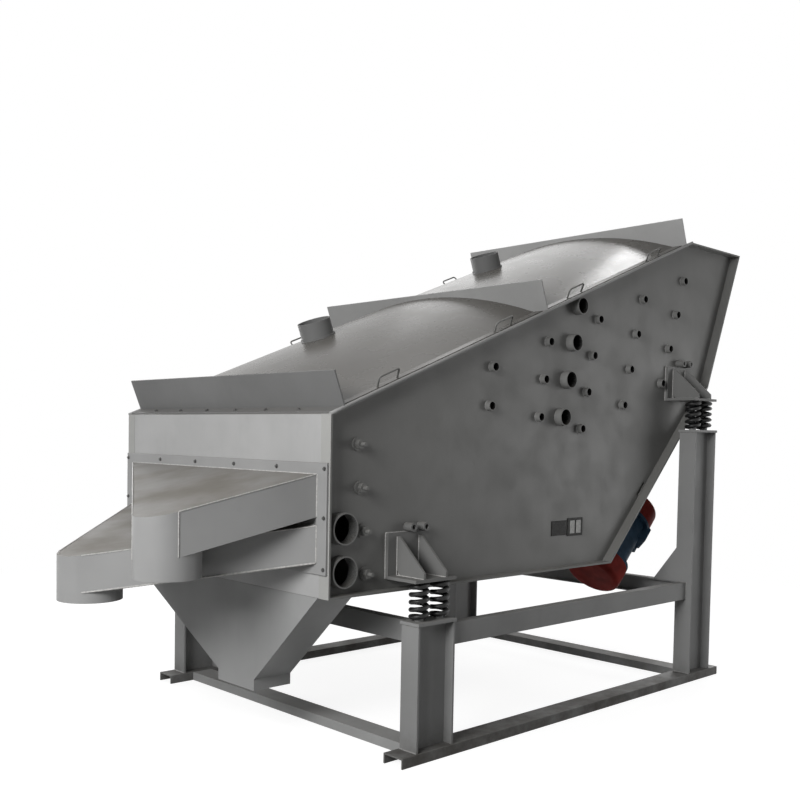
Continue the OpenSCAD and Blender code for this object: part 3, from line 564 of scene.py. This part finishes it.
FLANGE_EDGE, FLANGE_ROW, FLANGE_MID = 0.021, 6, 0.51   # inset, bolts a row, height of the side bolts
FLANGE_BOLT = (0.0105, 0.005)                          # across flats, height of the head
bm = bmesh.new()
reach = FLANGE[1].y - FLANGE_EDGE * 0.6
across = [reach * (1 - i / ((FLANGE_ROW - 1) / 2)) for i in range(FLANGE_ROW)]
spots = [(y, FLANGE[1].z - FLANGE_EDGE) for y in across]
spots += [(y, FLANGE[0].z + FLANGE_EDGE) for y in across]
middle = FLANGE[0].z + (FLANGE[1].z - FLANGE[0].z) * FLANGE_MID
spots += [(side * reach, middle) for side in (-1, 1)]
for y, z in spots:
    hex_bolt(bm, frame_at(Vector((FLANGE[0].x, y, z)), (0, 0, 1), (-1, 0, 0)), *FLANGE_BOLT)
piece("flange_bolts", bm, M["bolt"])


# ---- bolted foot of the front end plate, and its bolts ----

FOOT_T, FOOT_LOW, FOOT_HIGH, FOOT_SHORT = 0.004, 0.010, 0.066, 0.02
FOOT_BOLTS_AT, FOOT_BOLTS_Y, FOOT_BOLTS_STEP = 0.033, 0.5375, 0.209
FOOT_BOLT = (0.012, 0.005)
bm = bmesh.new()
mid = on_slope((FOOT_LOW + FOOT_HIGH) / 2, 0, 0)
foot = (FOOT_HIGH - FOOT_LOW, 2 * BOX_HALF - FOOT_SHORT, FOOT_T)
slab(bm, frame_at(mid, SLOPE_U, SLOPE_N), foot, 0.0015)
piece("end_plate_foot", bm, M["plate"])
bm = bmesh.new()
for i in range(6):
    p = on_slope(FOOT_BOLTS_AT, FOOT_BOLTS_Y - FOOT_BOLTS_STEP * i, FOOT_T)
    hex_bolt(bm, frame_at(p, SLOPE_U, SLOPE_N), *FOOT_BOLT)
piece("foot_bolts", bm, M["bolt"])


# ---- rounded sealing strips along the upper edges of the side plates ----

STRIP_R, STRIP_IN, STRIP_UP, STRIP_STEPS = 0.0065, 0.004, 0.001, 40
bm = bmesh.new()
for side in (-1, 1):
    y = side * (BOX_HALF - STRIP_IN)
    tube(bm, [on_slope(SLOPE_LEN * i / STRIP_STEPS, y, STRIP_UP) for i in range(STRIP_STEPS + 1)],
         STRIP_R, 12)
piece("edge_strips", bm, M["plate_pale"])


# ---- two bare plates on the near side plate; the second has two pale fields ----

TAG_T, FIELD_T = 0.003, 0.0015
TAGS = ((1.409, 0.8245, 0.112, 0.068), (1.531, 0.8255, 0.118, 0.084))   # x, z, width, height
FIELDS = ((1.509, 0.8255, 0.034, 0.060), (1.557, 0.8255, 0.034, 0.060))


def on_side(x, z, out=0.0):
    """A matrix on the outer face of the near side plate: x from its front, z up, Z outwards."""
    return frame_at(Vector((FRONT_X + x, -SIDE_FACE - out, z)), (1, 0, 0), (0, -1, 0))


bm = bmesh.new()
for x, z, wide, tall in TAGS:
    slab(bm, on_side(x, z), (wide, tall, TAG_T))
piece("bare_plates", bm, M["tag"])
bm = bmesh.new()
for x, z, wide, tall in FIELDS:
    slab(bm, on_side(x, z, TAG_T), (wide, tall, FIELD_T), 0.0005)
piece("bare_plate_fields", bm, M["tag_pale"])


# ---- screen cloths: two layers of wires on a frame of flat bars ----

DECK_ANGLE, DECK_OVER = math.radians(19.7), 0.120   # DECK_OVER: past the first and last tube
DECK_U = Vector((math.cos(DECK_ANGLE), 0, math.sin(DECK_ANGLE)))
DECK_N = Vector((-DECK_U.z, 0, DECK_U.x))
DECK_REAR = Vector((1.293, 0, 2.074))               # the top deck's rear tube
DECK_STEP = Vector((-0.0635, 0, -0.1815))           # from a deck to the one below it
DECK_TUBES = (5, 5, 4, 3)
PITCH, PITCH_LESS = 0.399, 0.012                    # between tubes, and how it falls deck by deck
DECKS = [(DECK_REAR + DECK_STEP * k, PITCH - PITCH_LESS * k, count)
         for k, count in enumerate(DECK_TUBES)]
TUBE_R, WIRE_R, MESH, WIRE_LIFT = 0.021, 0.0016, 0.016, 0.004
BAR_W, END_BAR_W, BAR_T, BAR_CHAMFER = 0.040, 0.030, 0.012, 0.002
CLOTH_HALF = SIDE_FACE - 0.008
bm = bmesh.new()
for rear, pitch, count in DECKS:
    span = pitch * (count - 1) + 2 * DECK_OVER
    front = rear - DECK_U * (span - DECK_OVER)
    low = front + DECK_N * (TUBE_R + WIRE_LIFT)
    for i in range(1, int(span / MESH)):
        p = low + DECK_U * (i * MESH)
        tube(bm, [p + Vector((0, -CLOTH_HALF, 0)), p + Vector((0, CLOTH_HALF, 0))], WIRE_R, 4)
    for i in range(1, int(2 * CLOTH_HALF / MESH)):
        p = low + DECK_N * (2 * WIRE_R) + Vector((0, -CLOTH_HALF + i * MESH, 0))
        tube(bm, [p, p + DECK_U * span], WIRE_R, 4)
    for side in (-1, 1):
        mid = front + DECK_U * (span / 2) + DECK_N * TUBE_R
        mid += Vector((0, side * (CLOTH_HALF - BAR_W / 2), 0))
        slab(bm, frame_at(mid, DECK_U, DECK_N), (span, BAR_W, BAR_T), BAR_CHAMFER)
    for s in (END_BAR_W / 2, span - END_BAR_W / 2):
        mid = front + DECK_U * s + DECK_N * TUBE_R
        size = (END_BAR_W, 2 * CLOTH_HALF - 2 * BAR_W, BAR_T)
        slab(bm, frame_at(mid, DECK_U, DECK_N), size, BAR_CHAMFER)
piece("screen_cloths", bm, M["mesh"], ["screen_decks"])


# ---- motors: terminal boxes with lids, and foot bolts ----

MOTOR_LEN, CAP_LEN, AXIS_H, FOOT_PLATE_T = 0.500, 0.108, 0.188, 0.024
PLATE_ANGLE = math.atan2(0.885, 0.870)
PLATE_U = Vector((math.cos(PLATE_ANGLE), 0, math.sin(PLATE_ANGLE)))
PLATE_OUT = Vector((math.sin(PLATE_ANGLE), 0, -math.cos(PLATE_ANGLE)))
PLATE_LOW = Vector((corners("bottom_plate")[1].x, 0, NEAR[0].z))
MOTOR_AT, MOTOR_Y = 0.045, 0.505
BOX_AT, BOX_LEN, BOX_W, BOX_LOW, BOX_TOP = 0.350, 0.084, 0.104, 0.080, 0.145
LID_T, LID_IN, BOX_CHAMFER = 0.006, 0.004, 0.003
MOTOR_BOLT_IN, MOTOR_BOLT_Y = 0.055, 0.111
MOTOR_BOLT = (0.022, 0.012)
boxes, bolts = bmesh.new(), bmesh.new()
for side in (-1, 1):
    base = PLATE_LOW + PLATE_U * MOTOR_AT + Vector((0, side * MOTOR_Y, 0))
    on_axis = base + PLATE_OUT * AXIS_H + PLATE_U * BOX_AT
    out = (PLATE_OUT + Vector((0, side, 0))).normalized()
    box = (BOX_LEN, BOX_W, BOX_TOP - BOX_LOW)
    slab(boxes, frame_at(on_axis + out * BOX_LOW, PLATE_U, out), box, BOX_CHAMFER)
    lid = (BOX_LEN - LID_IN, BOX_W - LID_IN, LID_T)
    slab(boxes, frame_at(on_axis + out * BOX_TOP, PLATE_U, out), lid, BOX_CHAMFER)
    for along in (CAP_LEN + MOTOR_BOLT_IN, MOTOR_LEN - CAP_LEN - MOTOR_BOLT_IN):
        for dy in (-MOTOR_BOLT_Y, MOTOR_BOLT_Y):
            p = base + PLATE_U * along + PLATE_OUT * FOOT_PLATE_T + Vector((0, dy, 0))
            hex_bolt(bolts, frame_at(p, PLATE_U, PLATE_OUT), *MOTOR_BOLT)
piece("terminal_boxes", boxes, M["blue"])
piece("motor_bolts", bolts, M["bolt"])


# ---- weld beads: cross tubes, spring brackets, frame, chutes ----

TUBE_BEAD, RIB_BEAD, EDGE_BEAD, FLANGE_BEAD, LIP_BEAD = 0.0026, 0.0028, 0.0024, 0.0030, 0.0036
bm = bmesh.new()
for side in (-1, 1):
    y = side * SIDE_FACE
    for rear, pitch, count in DECKS:
        for i in range(count):
            weld_ring(bm, rear - DECK_U * (pitch * i) + Vector((0, y, 0)), TUBE_R, TUBE_BEAD)
piece("tube_welds", bm, M["weld"])

SEAT_H, BASE_T = 0.016, 0.012    # spring seat and base plate of a bracket
PAD_H, PAD_T = 0.165, 0.016      # its pad on the side plate
RIB_X, RIB_HALF = 0.059, 0.005   # its two ribs
RIB_BELOW, RIB_SHORT = 0.014, 0.006
bm = bmesh.new()
for end in ("front", "rear"):
    low, high = corners("spring_brackets_" + end)
    base_top = low.z + SEAT_H + BASE_T
    pad_top = base_top + PAD_H
    for side in (-1, 1):
        face, plate = side * (SIDE_FACE + PAD_T), side * SIDE_FACE
        for x in (low.x, high.x):
            weld_line(bm, (x, plate, base_top - BASE_T), (x, plate, pad_top))
        weld_line(bm, (low.x, plate, pad_top), (high.x, plate, pad_top))
        mid = (low.x + high.x) / 2
        rib_end = side * (high.y - RIB_SHORT)
        for rib in (-RIB_X, RIB_X):
            for dx in (-RIB_HALF, RIB_HALF):
                x = mid + rib + dx
                foot = (x, face, base_top)
                weld_line(bm, foot, (x, face, pad_top - RIB_BELOW), RIB_BEAD)
                weld_line(bm, foot, (x, rib_end, base_top), RIB_BEAD)
# the bracket beads take the pale weld paint, partly painted highlight along the ribs' edges
piece("bracket_welds", bm, M["weld_and_highlight"])

POST_IN, POST_CAP = 0.005, 0.028   # inset of the beads, depth of the cap under a post's top
bm = bmesh.new()
for end in ("front", "rear"):
    for side in ("near", "far"):
        low, high = corners("post_%s_%s" % (end, side))
        y0, y1 = low.y + POST_IN, high.y - POST_IN
        for z in (low.z, high.z - POST_CAP):
            for x in (low.x + POST_IN, high.x - POST_IN):
                weld_line(bm, (x, y0, z), (x, y1, z))
for rail in ("ring_rail_near", "ring_rail_far"):
    low, high = corners(rail)
    for x in (low.x, high.x):
        weld_line(bm, (x, low.y, high.z), (x, high.y, high.z))
        for y in (low.y, high.y):
            weld_line(bm, (x, y, low.z), (x, y, high.z))
piece("frame_welds", bm, M["weld"])


def tangent(p, c, r, side):
    """The point of a circle in plan at which a line from p touches it."""
    d = c - p
    a = math.acos(r / d.length) * side
    e = -d.normalized()
    turned = Vector((e.x * math.cos(a) - e.y * math.sin(a), e.x * math.sin(a) + e.y * math.cos(a)))
    return c + turned * r


CHUTES = (("upper", 0.245, 0.156), ("lower", 0.185, 0.135))   # name, fall, depth of the walls
CHUTE_HALF, SPOUT_R = 0.673, 0.118
bm = bmesh.new()
for which, fall, deep in CHUTES:
    low, high = corners("chute_" + which)
    spout = corners("spout_" + which)
    centre = (spout[0] + spout[1]).xy / 2
    for side in (-1, 1):
        start = Vector((high.x, side * CHUTE_HALF))
        t = tangent(start, centre, SPOUT_R, side)
        top = high.z - fall * (high.x - t.x)
        weld_line(bm, (*start, high.z), (*t, top), EDGE_BEAD)
        if which == "upper":
            weld_line(bm, (*t, top), (*t, top - deep), EDGE_BEAD)
        else:
            weld_line(bm, (*start, high.z - deep), (*t, top - deep), LIP_BEAD)
        weld_line(bm, (*start, high.z), (*start, high.z - deep), FLANGE_BEAD)
    weld_line(bm, (high.x, -CHUTE_HALF, high.z), (high.x, CHUTE_HALF, high.z), FLANGE_BEAD)
# the chute beads and the lower chute's lip take the pale weld paint, partly painted highlight along
# the edges
piece("chute_welds", bm, M["weld_and_highlight"])


# ---- floor, light and camera ----

FLOOR_HALF, FLOOR_BELOW = 60, 0.0005
FLOOR_COLOR, FLOOR_GLOW = 0.30, 0.86
FLOOR_FADE = (2.4, 5.0)     # the floor fades to plain white between these distances
WORLD_DIM, WORLD_WHITE = 0.08, 1.0


def floor_material():
    """White for the camera where nothing shades it; the object's shadow stays."""
    t = new_material("floor")
    length = t.node("ShaderNodeVectorMath", operation="LENGTH")
    t.link(t.coord, length.inputs[0])
    far = t.ramp(length.outputs["Value"], *FLOOR_FADE)
    seen = t.seen()
    diffuse = t.node("ShaderNodeBsdfDiffuse")
    diffuse.inputs["Color"].default_value = (FLOOR_COLOR, FLOOR_COLOR, FLOOR_COLOR, 1)
    glow = t.node("ShaderNodeEmission")
    t.link(t.math("MULTIPLY", seen, FLOOR_GLOW), glow.inputs["Strength"])
    near = t.node("ShaderNodeAddShader")
    t.link(diffuse.outputs[0], near.inputs[0])
    t.link(glow.outputs[0], near.inputs[1])
    white = t.node("ShaderNodeEmission")
    t.mix_shader(t.math("MULTIPLY", far, seen), near.outputs[0], white.outputs[0])
    return t.owner


me = bpy.data.meshes.new("floor")
bm = bmesh.new()
bmesh.ops.create_grid(bm, x_segments=1, y_segments=1, size=FLOOR_HALF)
bm.to_mesh(me)
bm.free()
floor = bpy.data.objects.new("floor", me)
scene.collection.objects.link(floor)
floor.location.z = cad_box[0].z - FLOOR_BELOW
dress(floor, floor_material())


def studio():
    """A world that is white to look at and lights the object only a little."""
    t = Tree(bpy.data.worlds.new("studio"), "ShaderNodeOutputWorld")
    shades = []
    for strength in (WORLD_DIM, WORLD_WHITE):
        n = t.node("ShaderNodeBackground")
        n.inputs["Color"].default_value = (1, 1, 1, 1)
        n.inputs["Strength"].default_value = strength
        shades.append(n.outputs[0])
    t.mix_shader(t.seen(), *shades)
    scene.world = t.owner


studio()


def area(name, at, to, size, power):
    data = bpy.data.lights.new(name, "AREA")
    data.shape = "RECTANGLE"
    data.size, data.size_y = size
    data.energy = power
    obj = bpy.data.objects.new(name, data)
    scene.collection.objects.link(obj)
    obj.location = at
    obj.rotation_mode = "QUATERNION"
    obj.rotation_quaternion = (Vector(to) - Vector(at)).to_track_quat("-Z", "Y")
    obj.visible_camera = False


area("key", (-5.6, -1.9, 3.0), (-0.8, 0, 1.0), (2.6, 2.2), 275)
area("top", (0.3, 0.8, 6.8), (0.2, 0, 1.2), (3.4, 3.4), 45)
area("rear", (4.0, 0.95, 5.75), (0.8, -0.4, 2.0), (1.0, 1.0), 32)
area("crest", (4.9, 3.6, 5.5), (0.4, 0, 2.0), (3.4, 3.4), 34)
area("far", (-0.5, 6.5, 2.6), (0.3, 0, 1.0), (3.0, 2.4), 170)
area("end", (7.0, 1.0, 2.6), (0.8, 0, 1.2), (2.6, 2.4), 130)
area("side", (3.9, -3.2, 1.3), (1.4, -0.7, 1.3), (2.0, 2.0), 40)

CAM_AT = (-3.38413, -3.45522, 1.23929)
CAM_YAW, CAM_PITCH, CAM_ROLL = 0.7629, -0.0423, 0.0180       # radians
CAM_FOCAL, CAM_AXIS_Y, IMAGE = 985.5287, 476.9768, 800.0     # pixels


def camera():
    """The camera at the photograph's angle, solved from the photograph."""
    fwd = Vector((math.sin(CAM_YAW) * math.cos(CAM_PITCH), math.cos(CAM_YAW) * math.cos(CAM_PITCH),
                  math.sin(CAM_PITCH)))
    level = Vector((math.cos(CAM_YAW), -math.sin(CAM_YAW), 0))
    upright = level.cross(fwd)
    right = level * math.cos(CAM_ROLL) + upright * math.sin(CAM_ROLL)
    up = upright * math.cos(CAM_ROLL) - level * math.sin(CAM_ROLL)
    data = bpy.data.cameras.new("camera")
    data.sensor_width = 36.0
    data.lens = CAM_FOCAL / IMAGE * data.sensor_width
    data.shift_y = (CAM_AXIS_Y - IMAGE / 2) / IMAGE
    data.clip_end = 200
    obj = bpy.data.objects.new("camera", data)
    scene.collection.objects.link(obj)
    m = Matrix((right, up, -fwd)).transposed().to_4x4()
    m.translation = Vector(CAM_AT)
    obj.matrix_world = m
    scene.camera = obj


camera()
